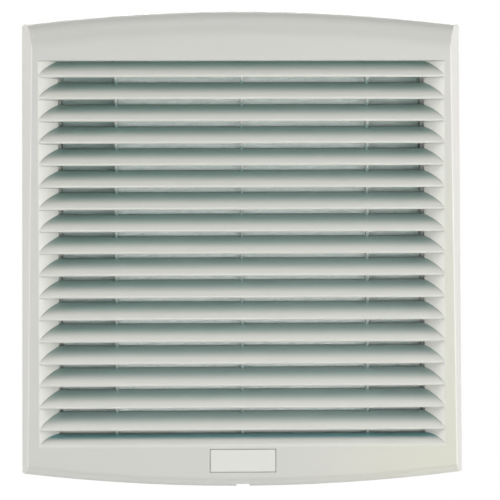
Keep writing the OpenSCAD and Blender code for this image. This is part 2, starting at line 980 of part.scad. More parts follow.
module bearing_outer_rings() {
  outer = tube_bore - press_gap;
  shield_r = shaft_r + race_t + shield_gap;
  color("#b9bcc0")
    for (y = bearing_fronts())
      turned()
        polygon([
          [outer, y], [outer, y + bearing_w], [shield_r, y + bearing_w], [shield_r, y + bearing_w - shield_t],
          [outer - outer_race_t, y + bearing_w - shield_t], [outer - outer_race_t, y + shield_t],
          [shield_r, y + shield_t], [shield_r, y]
        ]);
}

module bearing_inner_rings() {
  color("#d0d3d6")
    for (y = bearing_fronts())
      turned()
        translate([shaft_r + press_gap, y])
          square([race_t, bearing_w]);
}

// The shaft's groove for its clip, behind the rear bearing
function groove_y() = bearing_fronts()[1] + bearing_w + 3 * clip_gap;

module rotor_shaft() {
  groove_back = groove_y() + clip_t + 2 * clip_gap;
  groove_r = shaft_r - groove_depth;
  color("#c9ccd0")
    turned()
      polygon([
        [0, cup_front + shaft_in], [shaft_r, cup_front + shaft_in], [shaft_r, groove_y()],
        [groove_r, groove_y()], [groove_r, groove_back], [shaft_r, groove_back],
        [shaft_r, shaft_back - shaft_tip], [shaft_r - shaft_tip, shaft_back], [0, shaft_back]
      ]);
}

module shaft_clip() {
  y = groove_y() + clip_gap;
  color("#8f9297")
    along_y(y, y + clip_t)
      difference() {
        circle(r = shaft_r + clip_r);
        circle(r = shaft_r - groove_depth + run_gap);
        translate([0, -shaft_r / 3])
          square([shaft_r + 2 * clip_r, 2 * shaft_r / 3]);
      }
}

module rotor_cup() {
  bore = shaft_r + press_gap;
  boss = shaft_r + boss_wall;
  spigot = shaft_r + spigot_wall;
  inner = cup_r - cup_wall;
  boss_back = tube_front - spigot_wall;
  spigot_back = tube_front + bearing_inset - press_gap;
  color("#9a9da2")
    turned()
      polygon([
        [bore, cup_front], [cup_r - cup_round, cup_front], [cup_r, cup_front + cup_round], [cup_r, cup_back],
        [inner, cup_back], [inner, cup_front + cup_wall], [boss + cup_round / 2, cup_front + cup_wall],
        [boss, cup_front + cup_wall + cup_round / 2], [boss, boss_back], [spigot, boss_back],
        [spigot, spigot_back], [bore, spigot_back]
      ]);
}

module rotor_ring() {
  outer = cup_r - cup_wall - press_gap;
  color("#7c7f84")
    turned()
      translate([ring_inner, core_front - ring_over])
        square([outer - ring_inner, core_len + 2 * ring_over]);
}

// One blade: a curved plate set at an angle, cut to the ring between hub and tip
module blade() {
  front = hub_front + blade_in;
  back = hub_back - blade_in;
  half_chord = norm([back - front, blade_sweep]) / 2;
  camber_r = (half_chord * half_chord + blade_camber * blade_camber) / (2 * blade_camber);
  turn = atan2(blade_sweep, back - front);
  intersection() {
    rotate([90, 0, 90])
      linear_extrude(blade_r + cut)
        intersection() {
          translate([(front + back) / 2, 0])
            rotate(turn)
              translate([0, blade_camber - camber_r])
                difference() {
                  circle(r = camber_r, $fn = 180);
                  circle(r = camber_r - blade_t, $fn = 180);
                }
          translate([front, -blade_sweep])
            square([back - front, 2 * blade_sweep]);
        }
    difference() {
      bar_y(blade_r, front - cut, back + cut, 120);
      bar_y(hub_r - hub_wall / 3, front - 2 * cut, back + 2 * cut, 120);
    }
  }
}

module impeller() {
  inner = cup_r + run_gap;
  lip_r = cup_r - hub_lip;
  color("#26282a")
    union() {
      turned()
        polygon([
          [inner, hub_front + hub_skin], [lip_r, hub_front + hub_skin], [lip_r, hub_front],
          [hub_r - hub_round, hub_front], [hub_r, hub_front + hub_round], [hub_r, hub_back], [inner, hub_back]
        ]);
      for (i = [0:blade_count - 1])
        rotate([0, i * 360 / blade_count, 0])
          blade();
    }
}

// A straight piece of the guard's wire, in the plane of one leg
module leg_wire(from, to) {
  run = to[0] - from[0];
  drop = to[1] - from[1];
  translate([from[0], from[1], 0])
    rotate([0, 0, atan2(drop, run)])
      rotate([0, 90, 0])
        cylinder(d = guard_wire, h = norm([run, drop]));
}

// Wire guard: rings welded to four legs that come down to tabs under the screw heads
module finger_guard() {
  tab_at = fan_pcd / 2;
  leg_y = guard_y - guard_wire + guard_weld;
  bend = [guard_outer, leg_y];
  foot = [bore_r - guard_foot, fan_back + tab_t + guard_foot];
  color("#c6c9cd")
    union() {
      for (i = [0:guard_steps])
        turned()
          translate([guard_inner + i * guard_pitch, guard_y])
            circle(d = guard_wire, $fn = 24);
      for (a = [fan_hole_angle, 180 - fan_hole_angle, 180 + fan_hole_angle, -fan_hole_angle])
        rotate([0, -a, 0]) {
          leg_wire([guard_inner, leg_y], bend);
          leg_wire(bend, foot);
          translate([bend[0], bend[1], 0])
            sphere(d = 1.1 * guard_wire);
          along_y(fan_back, guard_top)
            difference() {
              union() {
                translate([tab_at, 0])
                  circle(r = tab_r);
                translate([tab_at - tab_len, -tab_w / 2])
                  square([tab_len, tab_w]);
              }
              translate([tab_at, 0])
                circle(r = screw_r + screw_gap);
            }
        }
    }
}

// Pan-head screw along -Y with a cross recess, its head seated at a station
module pan_screw(r, head_r, head_h, seat, length) {
  difference() {
    union() {
      bar_y(r, seat - length, seat + eps);
      translate([0, seat, 0])
        rotate([-90, 0, 0])
          cylinder(r1 = head_r, r2 = head_r * 0.8, h = head_h);
    }
    translate([0, seat + head_h, 0])
      for (a = [0, 90])
        rotate([0, a, 0])
          cube([head_r * 1.1, head_h, head_r * 0.3], center = true);
  }
}

module fan_screws() {
  seat = guard_top + washer_t + press_gap;
  color("#b4b7bb")
    at_fan_holes()
      pan_screw(screw_r, screw_head_r, screw_head_h, seat, seat - boss_front - screw_end);
}

module fan_washers() {
  color("#c4c7cb")
    at_fan_holes()
      difference() {
        bar_y(washer_r, guard_top + eps, guard_top + washer_t);
        bar_y(screw_r + screw_gap, fan_back, guard_top + washer_t + cut);
      }
}

// The poles of the terminal block, from left to right
module at_poles() {
  for (i = [-1:1])
    translate([block_x + i * pole_pitch, 0, block_z])
      children();
}

module terminal_block() {
  color("#e3e2da")
    difference() {
      union() {
        translate([block_x - block_w / 2, tub_y, block_z - block_d / 2 + block_edge])
          cube([block_w, block_foot, block_d - 2 * block_edge]);
        translate([block_x - block_body_w / 2, tub_y, block_z - block_d / 2])
          cube([block_body_w, block_h, block_d]);
      }
      at_poles()
        bar_y(pole_head_r + 2 * pole_gap, pole_y + cut, tub_y + block_h + cut);
      at_poles()
        translate([0, pole_y, 0])
          cylinder(d = pole_bore, h = block_d + cut, center = true);
      at_block_screws()
        bar_y(block_screw_r + screw_gap, tub_y - cut, tub_y + block_foot + cut);
    }
}

module terminal_clamps() {
  color("#c8a552")
    at_poles()
      difference() {
        translate([0, pole_y, 0])
          cylinder(d = pole_bore - 2 * pole_gap, h = block_d - 2 * clamp_end, center = true);
        translate([0, pole_y, 0])
          cylinder(d = clamp_bore, h = block_d, center = true);
        bar_y(pole_screw_r + run_gap, pole_y, tub_y + block_h);
      }
}

module terminal_screws() {
  head_back = pole_head_y + pole_head_len;
  color("#b4b7bb")
    at_poles()
      difference() {
        union() {
          bar_y(pole_screw_r, pole_y + 2 * pole_gap, pole_head_y + eps);
          bar_y(pole_head_r, pole_head_y, head_back);
        }
        translate([0, head_back, 0])
          cube([3 * pole_head_r, pole_head_len / 2, pole_head_r / 3], center = true);
      }
}

module block_screws() {
  seat = tub_y + block_foot + press_gap;
  length = seat - fan_wall_y + block_screw_end;
  color("#b4b7bb")
    at_block_screws()
      pan_screw(block_screw_r, block_head_r, block_head_h, seat, length);
}

front_cover();
badge_plate();
hinge_pins();
base_frame();
panel_gasket();
filter_grid();
filter_mat();
panel_clamp_right();
panel_clamp_top();
panel_clamp_left();
panel_clamp_bottom();
fan_frame();
stator_core();
stator_coils();
bearing_outer_rings();
bearing_inner_rings();
rotor_shaft();
rotor_cup();
rotor_ring();
impeller();
shaft_clip();
finger_guard();
fan_screws();
fan_washers();
terminal_block();
terminal_clamps();
terminal_screws();
block_screws();
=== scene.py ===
# %% [markdown]
# # Dressing a cabinet filter fan
# The solids of the fan come packed from the CAD work and stay as they are: this file gives them their
# finishes, models the two soft pieces that a plain solid can't show, and sets up the light and the camera.
# Everything is in metres. X points to the right, Y into the cabinet and Z up, and the origin is the middle
# of the cut-out, on the outer face of the cabinet's sheet.

# %% Load the solids
import math
import bpy
from mathutils import Matrix, Vector


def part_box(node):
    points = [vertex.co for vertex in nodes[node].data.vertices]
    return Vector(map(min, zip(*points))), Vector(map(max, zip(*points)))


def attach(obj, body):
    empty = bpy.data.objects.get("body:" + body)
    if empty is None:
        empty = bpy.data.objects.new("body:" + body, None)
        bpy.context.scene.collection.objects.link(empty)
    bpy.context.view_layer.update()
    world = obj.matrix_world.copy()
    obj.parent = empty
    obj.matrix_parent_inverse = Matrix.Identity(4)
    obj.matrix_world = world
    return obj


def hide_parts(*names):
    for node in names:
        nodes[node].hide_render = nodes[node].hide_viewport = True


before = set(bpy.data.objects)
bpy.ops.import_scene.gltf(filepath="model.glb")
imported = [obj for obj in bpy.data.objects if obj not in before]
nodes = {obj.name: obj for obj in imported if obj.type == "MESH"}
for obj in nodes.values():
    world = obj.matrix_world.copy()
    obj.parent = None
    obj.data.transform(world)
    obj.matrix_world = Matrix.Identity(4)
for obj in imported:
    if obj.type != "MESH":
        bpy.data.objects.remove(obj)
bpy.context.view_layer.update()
scene = bpy.context.scene

# %% [markdown]
# ## Camera
# The picture is taken almost square on, from about 1.2 m and a little below the middle, so the openings
# between the upper slats look wider than those between the lower ones. A camera could be turned by eye, but
# its place here comes from fitting the slat edges and the rim to the picture, so it is given as numbers: where
# it stands, what it looks at, and a quarter of a degree of roll.

# %% Camera
stand = Vector((-0.0251, -1.2131, -0.0377))
aim = Vector((0.0044, -0.0140, -0.0016))
roll = math.radians(-0.24)
forward = (aim - stand).normalized()
level = forward.cross(Vector((0, 0, 1))).normalized()
upward = level.cross(forward)
right = level * math.cos(roll) + upward * math.sin(roll)
top = upward * math.cos(roll) - level * math.sin(roll)
bpy.ops.object.camera_add()
camera = bpy.context.object
camera.name = "picture_camera"
camera.data.sensor_width = 36
camera.data.lens = 153.85
camera.data.clip_end = 50
turn = Matrix((right, top, -forward)).transposed().to_4x4()
camera.matrix_world = Matrix.Translation(stand) @ turn
scene.camera = camera
print("camera is", round((aim - stand).length, 3), "m away")

# %% [markdown]
# ## Node helpers
# World, floor and finishes are all small trees of shader nodes. They could be linked one line at a time, but
# the same few steps come back everywhere. The first helpers empty a tree, and add a node whose sockets are
# filled in by name, each with a plain value or with another node's output.

# %% Helpers that add nodes
def blank_tree(owner):
    """The emptied node tree of a material or a world."""
    owner.use_nodes = True
    owner.node_tree.nodes.clear()
    return owner.node_tree


def feed(tree, socket, value):
    """Links a node's output to the socket, or sets the socket to a plain value."""
    if isinstance(value, bpy.types.NodeSocket):
        tree.links.new(value, socket)
    else:
        socket.default_value = value


def add(tree, kind, **values):
    """A node of that kind, with its settings and sockets filled in by name."""
    made = tree.nodes.new(kind)
    for name, value in values.items():
        socket = name.replace("_", " ")
        if socket in made.inputs:
            feed(tree, made.inputs[socket], value)
        else:
            setattr(made, name, value)
    return made


print("helpers:", blank_tree.__name__, feed.__name__, add.__name__)

# %% [markdown]
# A mask is a number from 0 to 1 that says how much of an effect a point gets. These helpers make masks from
# readings such as height or depth and join them: the product is where all of them hold, the largest is where
# any of them does. A Color Ramp could shape a mask too; a Map Range takes its limits in metres as they are.

# %% Helpers that make masks
def calc(tree, operation, *terms):
    """A Math node's result; each term is a number or a node's output."""
    made = add(tree, "ShaderNodeMath", operation=operation)
    for socket, term in zip(made.inputs, terms):
        feed(tree, socket, term)
    return made.outputs[0]


def ramp(tree, value, low, high, to=1.0):
    """A mask that rises smoothly from 0 to its top value between two readings."""
    made = add(tree, "ShaderNodeMapRange", interpolation_type="SMOOTHSTEP", Value=value,
               From_Min=low, From_Max=high, To_Max=to)
    return made.outputs["Result"]


def times(tree, mask, *others):
    """Where all of these masks are: their product."""
    for other in others:
        mask = calc(tree, "MULTIPLY", mask, other)
    return mask


def larger(tree, mask, *others):
    """Where any of these masks is: the largest of them."""
    for other in others:
        mask = calc(tree, "MAXIMUM", mask, other)
    return mask


def blend(tree, factor, a, b, blend_type="MIX"):
    """A mix of two colours, each of them a value or a node's output."""
    made = add(tree, "ShaderNodeMix", data_type="RGBA", blend_type=blend_type, Factor=factor, A=a, B=b)
    return made.outputs["Result"]


print("helpers:", calc.__name__, ramp.__name__, times.__name__, larger.__name__, blend.__name__)

# %% [markdown]
# ## Light
# The side walls in the picture are brighter than the face, so two large soft lamps stand far round to the
# sides. The right one is nearer and stands at the fan's own height, so it also reaches the reveals, the slopes
# that frame the slats. A lamp high in front lights the front of each slat and is cut off by the slat above,
# which gives every slat its shade from light to dark. One strong lamp in front would flatten them, so the
# front lamp is weak: it stands low and shines up between the slats on to the filter mat. Two lamps behind
# serve the views of the back.

# %% Lamps
WARM = (1.0, 0.985, 0.965)
WARM_BACK = (1.0, 0.99, 0.97)
COOL = (0.95, 1.0, 0.985)


def soft_lamp(name, azimuth, height, distance, size, power, colour):
    """An area lamp that looks at the origin; azimuth 0 is straight in front, 90 is to the right."""
    a = math.radians(azimuth)
    place = Vector((math.sin(a) * distance, -math.cos(a) * distance, height))
    bpy.ops.object.light_add(type="AREA", location=place)
    lamp = bpy.context.object
    lamp.name = name
    lamp.rotation_euler = (-place).to_track_quat("-Z", "Y").to_euler()
    lamp.data.shape = "RECTANGLE"
    lamp.data.size, lamp.data.size_y = size
    lamp.data.energy = power
    lamp.data.color = colour


# Each line: azimuth in degrees, height and distance in metres, size, power in watts, colour.
lamps = {
    "lamp_right": (75, 0.04, 1.1, (0.6, 0.45), 8.1, WARM),
    "lamp_left": (-73, 0.3, 2.0, (0.7, 1.0), 23.6, WARM),
    "lamp_front": (4, -0.1, 1.3, (0.9, 0.17), 6.3, COOL),
    "lamp_top": (0, 1.8, 0.75, (1.0, 0.8), 6.2, WARM),
    "lamp_back_right": (163, 0.9, 1.8, (1.0, 1.0), 18.5, WARM_BACK),
    "lamp_back_left": (-163, 0.9, 1.8, (1.0, 1.0), 15, WARM_BACK),
}
for name, setting in lamps.items():
    soft_lamp(name, *setting)

# %% [markdown]
# ## White ground
# The picture has a pure white ground, but a pure white world would flood the fan with light. The Light Path
# node tells rays apart: those that end in the picture, straight or by way of a gloss or a clear piece, see
# white, and all others get a faint, cool fill. The Standard view transform keeps that white pure.

# %% World
def white_when_seen(tree, unseen, shown, output):
    """Ends a tree that looks one way to rays that end in the picture, and another way to plain light."""
    rays = add(tree, "ShaderNodeLightPath").outputs
    seen = larger(tree, rays["Is Camera Ray"], rays["Is Glossy Ray"], rays["Is Transmission Ray"])
    choose = add(tree, "ShaderNodeMixShader")
    for socket, source in zip(choose.inputs, (seen, unseen.outputs[0], shown.outputs[0])):
        tree.links.new(source, socket)
    tree.links.new(choose.outputs[0], add(tree, output).inputs[0])


world = bpy.data.worlds.new("studio")
scene.world = world
tree = blank_tree(world)
fill = add(tree, "ShaderNodeBackground", Color=(0.84, 0.97, 0.95, 1), Strength=0.13)
white = add(tree, "ShaderNodeBackground", Color=(1, 1, 1, 1))
white_when_seen(tree, fill, white, "ShaderNodeOutputWorld")
scene.view_settings.view_transform = "Standard"
print("world:", world.name, "with", len(tree.nodes), "nodes")

# %% [markdown]
# ## Floor
# The picture shows no shadow. The floor is a plain pale sheet a little way under the fan, so that in the
# picture's own view only its far part shows. To the camera it is white, darkened where the fan keeps the
# light from it, so views from above still have a soft shadow. A shadow catcher would need the compositor; an
# ambient occlusion node in the floor's own material does it in one step.

# %% Floor
floor_level = -0.2
bpy.ops.mesh.primitive_plane_add(size=60, location=(0, 0, floor_level))
floor = bpy.context.object
floor.name = "floor"
bpy.ops.object.transform_apply(location=True, rotation=True, scale=True)
pale = bpy.data.materials.new("pale_floor")
tree = blank_tree(pale)
matt = add(tree, "ShaderNodeBsdfDiffuse", Color=(0.8, 0.8, 0.8, 1))
open_sky = add(tree, "ShaderNodeAmbientOcclusion", Distance=0.35, samples=8)
shadow = add(tree, "ShaderNodeMapRange", Value=open_sky.outputs["AO"],
             From_Min=0.25, From_Max=0.9, To_Min=0.6, To_Max=1.0)
glow = add(tree, "ShaderNodeEmission", Strength=shadow.outputs["Result"])
white_when_seen(tree, matt, glow, "ShaderNodeOutputMaterial")
floor.data.materials.append(pale)
print("floor at", floor.data.vertices[0].co.z)

# %% [markdown]
# ## Shared effects
# Most pieces here are moulded plastic. A mould is spark-eroded, so the surface has a fine grain, and the melt
# leaves broad, faint changes of tone. Each plastic could hold its own copies of these textures; as a node
# group they are made once and placed in each plastic with its own values. Groups hold only textures and
# numbers; each shader stays in its material.

# %% Moulded grain group
def new_group(name, inputs, outputs):
    """A node group with these sockets, and the nodes that stand for its two ends."""
    group = bpy.data.node_groups.new(name, "ShaderNodeTree")
    for label, kind, value in inputs:
        socket = group.interface.new_socket(label, in_out="INPUT", socket_type=kind)
        if value is not None:
            socket.default_value = value
    for label, kind in outputs:
        group.interface.new_socket(label, in_out="OUTPUT", socket_type=kind)
    return group, group.nodes.new("NodeGroupInput").outputs, group.nodes.new("NodeGroupOutput").inputs


grain_group, given, put = new_group(
    "moulded_grain",
    [("Vector", "NodeSocketVector", None), ("Grain Scale", "NodeSocketFloat", 1800.0),
     ("Flow Scale", "NodeSocketFloat", 9.0), ("Colour", "NodeSocketColor", (0.6, 0.6, 0.6, 1)),
     ("Flow Depth", "NodeSocketFloat", 0.05), ("Roughness", "NodeSocketFloat", 0.45),
     ("Roughness Spread", "NodeSocketFloat", 0.12)],
    [("Colour", "NodeSocketColor"), ("Roughness", "NodeSocketFloat"), ("Height", "NodeSocketFloat")],
)
noise_middle = 0.5
grain = add(grain_group, "ShaderNodeTexNoise", Vector=given["Vector"], Scale=given["Grain Scale"],
            Detail=3.0, Roughness=0.6).outputs["Fac"]
flow = add(grain_group, "ShaderNodeTexNoise", Vector=given["Vector"], Scale=given["Flow Scale"],
           Detail=4.0, Roughness=0.5, Distortion=0.6).outputs["Fac"]
swing = calc(grain_group, "SUBTRACT", flow, noise_middle)
fine = calc(grain_group, "SUBTRACT", grain, noise_middle)
strength = calc(grain_group, "MULTIPLY_ADD", swing, given["Flow Depth"], 1.0)
tone = add(grain_group, "ShaderNodeVectorMath", operation="SCALE", Scale=strength)
grain_group.links.new(given["Colour"], tone.inputs[0])
both = calc(grain_group, "ADD", swing, fine)
rough = calc(grain_group, "MULTIPLY_ADD", both, given["Roughness Spread"], given["Roughness"])
for label, source in (("Colour", tone.outputs[0]), ("Roughness", rough), ("Height", grain)):
    grain_group.links.new(source, put[label])
print("group:", grain_group.name, len(grain_group.nodes), "nodes")

# %% [markdown]
# Wire turns, stacked sheets and drawing lines are all bands at some pitch. A Wave texture gives the bands, and
# a noise beside it gives the flecks that worked metal has, so one second group serves every metal.

# %% Bands group
bands_group, given, put = new_group(
    "fine_bands",
    [("Vector", "NodeSocketVector", None), ("Pitch Scale", "NodeSocketFloat", 400.0),
     ("Waver", "NodeSocketFloat", 1.0)],
    [("Band", "NodeSocketFloat"), ("Fleck", "NodeSocketFloat")],
)
wave = add(bands_group, "ShaderNodeTexWave", wave_type="BANDS", bands_direction="Y", Vector=given["Vector"],
           Scale=given["Pitch Scale"], Distortion=given["Waver"], Detail=1.0, Detail_Scale=2.0)
specks = add(bands_group, "ShaderNodeTexNoise", Vector=given["Vector"], Scale=220.0, Detail=4.0, Roughness=0.65)
for label, source in (("Band", wave), ("Fleck", specks)):
    bands_group.links.new(source.outputs["Fac"], put[label])
print("group:", bands_group.name, len(bands_group.nodes), "nodes")

# %% [markdown]
# ## Plastics
# The cover is a light, slightly warm grey with a satin skin; the frame behind it is the same grey, duller.
# The clamps and the impeller are dark, the terminal block off-white. One function makes them all from the
# grain group, and the fan's casting too, whose paint is grained like a plastic. Moulded edges are never quite
# sharp, so a Bevel node rounds the light on them without any change to the solids' meshes.

# %% Plastic finishes
def surface(tree, height, bump, relief=0.0002, edge=None, **values):
    """Ends a material: a bump, over rounded edges where asked for, a Principled shader and the output."""
    bumps = add(tree, "ShaderNodeBump", Strength=bump, Distance=relief, Height=height)
    if edge:
        rounding = add(tree, "ShaderNodeBevel", samples=4, Radius=edge)
        tree.links.new(rounding.outputs["Normal"], bumps.inputs["Normal"])
    shader = add(tree, "ShaderNodeBsdfPrincipled", Normal=bumps.outputs["Normal"], **values)
    tree.links.new(shader.outputs[0], add(tree, "ShaderNodeOutputMaterial").inputs[0])


def plastic(name, colour, roughness, grain_scale=1800.0, bump=0.06, flow=0.05, edge=0.0004, gloss=0.5):
    made = bpy.data.materials.new(name)
    tree = blank_tree(made)
    where = add(tree, "ShaderNodeTexCoord").outputs
    skin = add(tree, "ShaderNodeGroup", node_tree=grain_group, Vector=where["Object"], Grain_Scale=grain_scale,
               Colour=(*colour, 1), Flow_Depth=flow, Roughness=roughness).outputs
    surface(tree, skin["Height"], bump, edge=edge, IOR=1.46, Specular_IOR_Level=gloss,
            Base_Color=skin["Colour"], Roughness=skin["Roughness"])
    return made


cover_grey = plastic("cover_satin_grey", (0.66, 0.650, 0.615), 0.42, edge=0.0009, gloss=0.4)
frame_grey = plastic("frame_matt_grey", (0.60, 0.60, 0.57), 0.55, bump=0.1)
badge_grey = plastic("badge_bare_grey", (0.635, 0.625, 0.60), 0.36, bump=0.03, flow=0.03, edge=0.0002)
clamp_dark = plastic("clamp_dark_grey", (0.045, 0.048, 0.052), 0.5, grain_scale=1400.0, bump=0.12, flow=0.25)
blade_black = plastic("impeller_black", (0.018, 0.019, 0.021), 0.47, grain_scale=900.0, bump=0.12, flow=0.4)
block_white = plastic("terminal_off_white", (0.66, 0.645, 0.575), 0.28, bump=0.03)
casting_black = plastic("fan_black_paint", (0.014, 0.0145, 0.016), 0.4, grain_scale=650.0, bump=0.3, flow=0.3)
plastics = (cover_grey, frame_grey, badge_grey, clamp_dark, blade_black, block_white, casting_black)
print("plastics:", [m.name for m in plastics])

# %% [markdown]
# ## Painted shade and light on the cover
# Shade deep between the slats, on the sill, on the ribs' feet and along the slat ends is painted into the
# colour, and so are a darker outer face, a warm light on its lower right and a highlight on its rounded edges.
# All of that is placed by masks, and the masks need to know where a point is on the cover. The face leans back,
# so a Mapping node turns the coordinates by that lean; after it, X is the way across, Y the depth behind the
# face and Z the height. The object's own normal says which way a point faces. Painting by hand would need an
# image; this follows the shape and works in any view.

# %% Places on the cover
face_lean = math.atan(10 / 268)
face_at = 0.019
tree = cover_grey.node_tree
shader = next(n for n in tree.nodes if n.type == "BSDF_PRINCIPLED")
skin = next(n for n in tree.nodes if n.type == "GROUP")
where = next(n for n in tree.nodes if n.type == "TEX_COORD")
lie = add(tree, "ShaderNodeMapping", Vector=where.outputs["Object"], Rotation=(-face_lean, 0, 0),
          Location=(0, face_at * math.cos(face_lean), 0))
across, depth, height = add(tree, "ShaderNodeSeparateXYZ", Vector=lie.outputs["Vector"]).outputs
facing = add(tree, "ShaderNodeSeparateXYZ", Vector=where.outputs["Normal"]).outputs
aside = calc(tree, "ABSOLUTE", across)
turned = calc(tree, "ABSOLUTE", facing["X"])
tilted = calc(tree, "ABSOLUTE", facing["Z"])
print("the face leans back by", round(math.degrees(face_lean), 2), "degrees")

# %% [markdown]
# Painted shade: the colour turns a dark grey-green deep between the slats. Three masks place it: depth behind
# the face, with its own limits for the sill; faces that look upwards; and the height of the opening, so that the
# rolled top edge of the cover is left out.

# %% Painted shade on slats and sill
opening_top = 0.104
sill_top = -0.1045
sharp = 0.0002
# Each painted shade: the depth where it starts, the depth where it is full, and how strong it is there.
slat_shade_depths = (0.0010, 0.0078, 0.86)
sill_shade_depths = (0.0022, 0.0056, 0.9)
above_sill = ramp(tree, height, sill_top - sharp, sill_top + sharp)
deep = add(tree, "ShaderNodeMix", data_type="FLOAT", Factor=above_sill,
           A=ramp(tree, depth, *sill_shade_depths), B=ramp(tree, depth, *slat_shade_depths))
upwards = ramp(tree, facing["Z"], 0.2, 0.6)
inside = ramp(tree, height, opening_top + 0.010, opening_top + 0.007)
# Painted shade deep between the slats and on the sill.
slat_shade_mask = times(tree, deep.outputs["Result"], upwards, inside)
print("film on the slats from", 1000 * slat_shade_depths[0], "mm behind the face")

# %% [markdown]
# The three ribs behind the slats stand upright, so the mask for upward faces misses them. They are found by
# their distance from the middle, and their deep feet get painted shade.

# %% Painted shade on the ribs
rib_at = 0.0705
rib_half = 0.0012
rib_shade_depths = (0.0028, 0.0085, 0.85)
off_rib = calc(tree, "ABSOLUTE", calc(tree, "SUBTRACT", aside, rib_at))
on_middle = ramp(tree, aside, rib_half + sharp, rib_half - sharp)
on_outer = ramp(tree, off_rib, rib_half + sharp, rib_half - sharp)
# Painted shade on the ribs' deep feet.
rib_shade_mask = times(tree, larger(tree, on_middle, on_outer), ramp(tree, depth, *rib_shade_depths), inside)
print("ribs at 0 and", 1000 * rib_at, "mm to each side")

# %% [markdown]
# The painted shade is a little darker towards the upper left than towards the lower right, and bluer on the
# sill.
# A sum of height and a share of the way across gives that slant.

# %% Colour of the painted shade
# The colours of the painted shade: lower right, upper left, and on the sill.
shade_colour_low = (0.296, 0.408, 0.396, 1)
shade_colour_high = (0.215, 0.352, 0.325, 1)
shade_colour_sill = (0.15, 0.37, 0.38, 1)
slant = -0.6
slant_reach = 0.12
slanted = calc(tree, "MULTIPLY_ADD", across, slant, height)
slat_tone = blend(tree, ramp(tree, slanted, -slant_reach, slant_reach), shade_colour_low, shade_colour_high)
painted_shade = blend(tree, above_sill, shade_colour_sill, slat_tone)
with_slat_shade = blend(tree, larger(tree, slat_shade_mask, rib_shade_mask), skin.outputs["Colour"], painted_shade)
# The slats, sill and rib feet now carry painted shade in their colour.
print("dust on", cover_grey.name)

# %% [markdown]
# A thin dark line of painted shade runs in the corner where each slat ends at the sloping reveal. The reveal's
# own slope gives the place: along it, the distance from the middle and the depth add up to the same number.

# %% Painted shade lines at the slat ends
opening_half = 0.1136
reveal_slope = 10.4 / 11.2
# The colour of the painted shade in the corners at the slat ends.
crease_shade_grey = (0.16, 0.18, 0.165, 1)
along = calc(tree, "MULTIPLY_ADD", depth, reveal_slope, aside)
corner = ramp(tree, along, opening_half - 0.0009, opening_half - 0.0002, 0.5)
behind_nose = ramp(tree, depth, 0.0008, 0.0020)
with_crease_shade = blend(tree, times(tree, corner, behind_nose, upwards, inside), with_slat_shade, crease_shade_grey)
print("lines along", opening_half, "m at each side")

# %% [markdown]
# Painted shade makes the outside a shade darker than the slats and reveals, and a painted warm light makes it
# yellower towards the lower right of the face. Three masks find the outside: beyond the reveals at the sides,
# above the opening, and below the sill. The tint multiplies the plastic's own colour, so its grain stays.

# %% Painted shade and warm light on the outside
sill_edge = -0.1105
# Painted shade on the outer face, and a painted warm light at its lower right.
outside_shade_tint = (0.856, 0.852, 0.866, 1)
warm_light_tint = (0.918, 0.908, 0.845, 1)
beyond = ramp(tree, along, opening_half + 0.0001, opening_half + 0.0005)
above = ramp(tree, height, opening_top + 0.0001, opening_top + 0.0003)
shallow = ramp(tree, depth, 0.0016, 0.0012)
rolled = ramp(tree, height, opening_top + 0.006, opening_top + 0.008)
below = ramp(tree, height, sill_edge + 0.0012, sill_edge - 0.0018)
outside = larger(tree, beyond, times(tree, above, larger(tree, shallow, rolled)), below)
rightward = ramp(tree, across, 0.01, 0.11)
downward = ramp(tree, height, 0.17, -0.10)
not_a_side = ramp(tree, turned, 0.8, 0.5)
tint = blend(tree, times(tree, rightward, downward, not_a_side), outside_shade_tint, warm_light_tint)
face_with_painted_light = blend(tree, outside, with_crease_shade, tint, blend_type="MULTIPLY")
print("outside_shade_and_light:", cover_grey.name)

# %% [markdown]
# A painted highlight makes the rounded edges of the face paler. At the sides, the normal there points half to
# the side; at the rolled top and the bottom edge it points half up or down.

# %% Painted highlight on the rounded edges
# The colour of the painted highlight on the rounded edges.
highlight_pale = (0.80, 0.79, 0.755, 1)
half_aside = times(tree, ramp(tree, turned, 0.2, 0.45), ramp(tree, turned, 0.93, 0.8, 0.5))
half_tilted = ramp(tree, tilted, 0.2, 0.75, 0.36)
painted_highlight = larger(tree, times(tree, half_aside, beyond), times(tree, half_tilted, larger(tree, rolled, below)))
tree.links.new(blend(tree, painted_highlight, face_with_painted_light, highlight_pale), shader.inputs["Base Color"])
print(cover_grey.name, "now has", len(tree.nodes), "nodes")

# %% [markdown]
# ## Metals
# Screws and pins are zinc plated, the guard is bright plated wire, the rotor cup is drawn sheet with faint
# rings, the stator is a stack of thin sheets and its coils are varnished copper. Each takes its lines from the
# bands group at its own pitch. The bands feed the bump and the flecks feed the colour and the roughness, which
# is what makes a metal look worked and not like a mirror.

# %% Metal finishes
least_worn = 0.8
most_worn = 1.25
metal_edge = 0.00025


def metal(name, colour, roughness, pitch, bump, waver=2.0, fleck=0.12):
    made = bpy.data.materials.new(name)
    tree = blank_tree(made)
    where = add(tree, "ShaderNodeTexCoord").outputs
    lines = add(tree, "ShaderNodeGroup", node_tree=bands_group, Vector=where["Object"],
                Pitch_Scale=pitch, Waver=waver).outputs
    darker = (*[c * (1 - fleck) for c in colour], 1)
    paler = (*[min(1, c * (1 + fleck)) for c in colour], 1)
    worn = add(tree, "ShaderNodeMapRange", Value=lines["Fleck"],
               To_Min=roughness * least_worn, To_Max=roughness * most_worn)
    surface(tree, lines["Band"], bump, edge=metal_edge, Metallic=1.0,
            Base_Color=blend(tree, lines["Fleck"], darker, paler), Roughness=worn.outputs["Result"])
    return made


